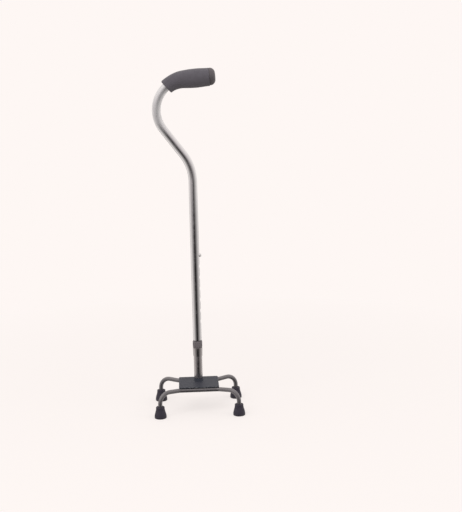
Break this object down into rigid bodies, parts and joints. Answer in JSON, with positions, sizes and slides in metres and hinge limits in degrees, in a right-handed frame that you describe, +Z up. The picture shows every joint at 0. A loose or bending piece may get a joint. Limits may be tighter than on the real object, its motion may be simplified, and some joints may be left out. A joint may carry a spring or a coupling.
{
  "type": "quad cane",
  "caption": "Height-adjustable walking cane with a swan-neck handle, foam grip, turning shaft, snap button and a small plate base on rubber-tipped bent rods.",
  "frame": {"origin": "on the floor, in the middle of the four feet", "axes": "+X the way the grip points, +Y from the front feet to the rear feet, +Z up along the shaft"},
  "size_m": [0.2018, 0.1516, 0.7633],
  "materials": {
    "base_paint": "satin",
    "rod_finish": "gloss",
    "plating": "polished",
    "chrome": "polished",
    "bare_steel": "satin",
    "ring_plastic": "satin",
    "nylon": "satin",
    "rubber": "matte",
    "foam": "matte",
    "cap_plastic": "satin"
  },
  "bodies": {
    "base": {"base_plate": "base_paint", "front_bow": "rod_finish", "rear_bow": "rod_finish", "foot_tip_front_left": "rubber", "foot_tip_front_right": "rubber", "foot_tip_rear_left": "rubber", "foot_tip_rear_right": "rubber", "tip_washer_front_left": "bare_steel", "tip_washer_front_right": "bare_steel", "tip_washer_rear_left": "bare_steel", "tip_washer_rear_right": "bare_steel", "stem_tube": "plating", "thrust_plug": "nylon", "collet_bush": "plating"},
    "lock_ring": {"lock_ring": "ring_plastic"},
    "shaft": {"inner_tube": "bare_steel", "top_guide": "nylon", "button_spring": "bare_steel"},
    "button": {"snap_button": "bare_steel"},
    "handle": {"handle_tube": "chrome", "tube_liner": "nylon", "foam_grip": "foam", "grip_end_cap": "cap_plastic"}
  },
  "joints": [
    {"name": "shaft_swivel", "type": "hinge", "parent": "base", "child": "shaft", "pos_m": [0, 0.018, 0.15], "axis": [0, 0, 1], "continuous": true},
    {"name": "lock_ring_turn", "type": "hinge", "parent": "base", "child": "lock_ring", "pos_m": [0, 0.018, 0.1447], "axis": [0, 0, 1], "range_deg": [0, 180]},
    {"name": "height_adjust", "type": "slide", "parent": "shaft", "child": "handle", "axis": [0, 0, 1], "range_m": [0, 0.1524]},
    {"name": "button_press", "type": "slide", "parent": "shaft", "child": "button", "axis": [-1, 0, 0], "range_m": [0, 0.0066], "stiffness_N_per_m": 1500, "springref_m": -0.002, "deforming": ["button_spring"]}
  ]
}
